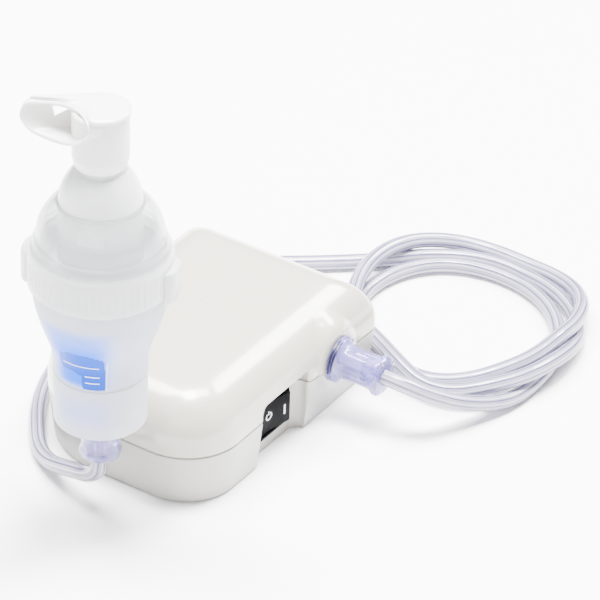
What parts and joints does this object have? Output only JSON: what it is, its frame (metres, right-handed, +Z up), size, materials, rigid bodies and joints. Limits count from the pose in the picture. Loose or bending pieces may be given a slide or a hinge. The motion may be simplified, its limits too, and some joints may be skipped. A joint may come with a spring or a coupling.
{
  "type": "tabletop nebulizer",
  "caption": "Compact air compressor with a rocker switch, feeding a clear air tube to a medication cup with a blue vaporizer head, frosted top and swivelling mouthpiece.",
  "frame": {"origin": "centre of the compressor's footprint on its underside", "axes": "+Z up, +X towards the side with the switch and the air outlet, -Y towards the front wall, where the cup stands"},
  "size_m": [0.1626, 0.2509, 0.1701],
  "materials": {
    "housing_top": "glossy warm off-white moulded shell",
    "housing_base": "glossy light grey-white moulded shell",
    "foot_rubber": "soft grey pads",
    "screw_steel": "zinc-plated screws",
    "switch_black": "glossy black",
    "pin_steel": "ground pin",
    "outlet_plastic": "satin white",
    "holder_plastic": "satin white",
    "jack_black": "moulded black",
    "filter_white": "satin white",
    "filter_felt": "felt pad",
    "board_green": "solder mask",
    "motor_steel": "drawn steel can",
    "motor_black": "moulded end cap",
    "rotor_copper": "laminations and winding",
    "crank_brass": "turned",
    "piston_plastic": "acetal",
    "pump_alloy": "die cast",
    "valve_steel": "thin sheet",
    "hose_rubber": "silicone",
    "cradle_plastic": "moulded",
    "damper_rubber": "soft",
    "tube_pvc": "clear tube with a lavender tint",
    "plug_pvc": "translucent violet",
    "cup_frosted": "frosted translucent",
    "top_frosted": "frosted translucent",
    "head_blue": "clear-cut blue",
    "mouth_white": "satin white"
  },
  "bodies": {
    "root": {"lower_housing": "housing_base", "upper_housing": "housing_top", "rubber_feet": "foot_rubber", "housing_screws": "screw_steel", "switch_frame": "switch_black", "rocker_pin": "pin_steel", "air_outlet_port": "outlet_plastic", "kit_holder": "holder_plastic", "power_jack": "jack_black", "filter_seat": "filter_white", "air_filter": "filter_felt", "circuit_board": "board_green", "motor_can": "motor_steel", "motor_end_bell": "motor_black", "pump_cylinder": "pump_alloy", "cylinder_head": "pump_alloy", "valve_plate": "valve_steel", "head_screws": "screw_steel", "inner_hose": "hose_rubber", "motor_cradle": "cradle_plastic", "motor_dampers": "damper_rubber", "air_tube_lead": "tube_pvc", "air_tube_coil": "tube_pvc", "air_tube": "tube_pvc", "outlet_plug": "plug_pvc", "kit_plug": "plug_pvc"},
    "rocker": {"power_rocker": "switch_black"},
    "filter_cover": {"filter_cover": "filter_white"},
    "rotor": {"motor_rotor": "rotor_copper", "motor_shaft": "pin_steel", "crank_disc": "crank_brass"},
    "piston": {"piston": "piston_plastic"},
    "cup": {"medication_cup": "cup_frosted"},
    "vaporizer": {"vaporizer_head": "head_blue"},
    "top": {"inhalation_top": "top_frosted"},
    "mouthpiece": {"mouthpiece": "mouth_white"}
  },
  "joints": [
    {"name": "switch_rock", "type": "hinge", "parent": "root", "child": "rocker", "pos_m": [0.0324, -0.0061, 0.0127], "axis": [0, 0, 1], "range_deg": [0, 10]},
    {"name": "filter_cover_pull", "type": "slide", "parent": "root", "child": "filter_cover", "axis": [0, 1, 0], "range_m": [0, 0.012]},
    {"name": "motor_spin", "type": "hinge", "parent": "root", "child": "rotor", "pos_m": [-0.012, 0, 0.0156], "axis": [0, 1, 0], "continuous": true},
    {"name": "piston_stroke", "type": "slide", "parent": "root", "child": "piston", "axis": [1, 0, 0], "range_m": [-0.002, 0.002]},
    {"name": "cup_lift", "type": "slide", "parent": "root", "child": "cup", "axis": [0, 0, 1], "range_m": [0, 0.04]},
    {"name": "vaporizer_lift", "type": "slide", "parent": "cup", "child": "vaporizer", "axis": [0, 0, 1], "range_m": [0, 0.025]},
    {"name": "top_lift", "type": "slide", "parent": "cup", "child": "top", "axis": [0, 0, 1], "range_m": [0, 0.05]},
    {"name": "mouthpiece_swivel", "type": "hinge", "parent": "top", "child": "mouthpiece", "pos_m": [0.0118, -0.0755, 0.157], "axis": [0, 0, 1], "continuous": true}
  ]
}
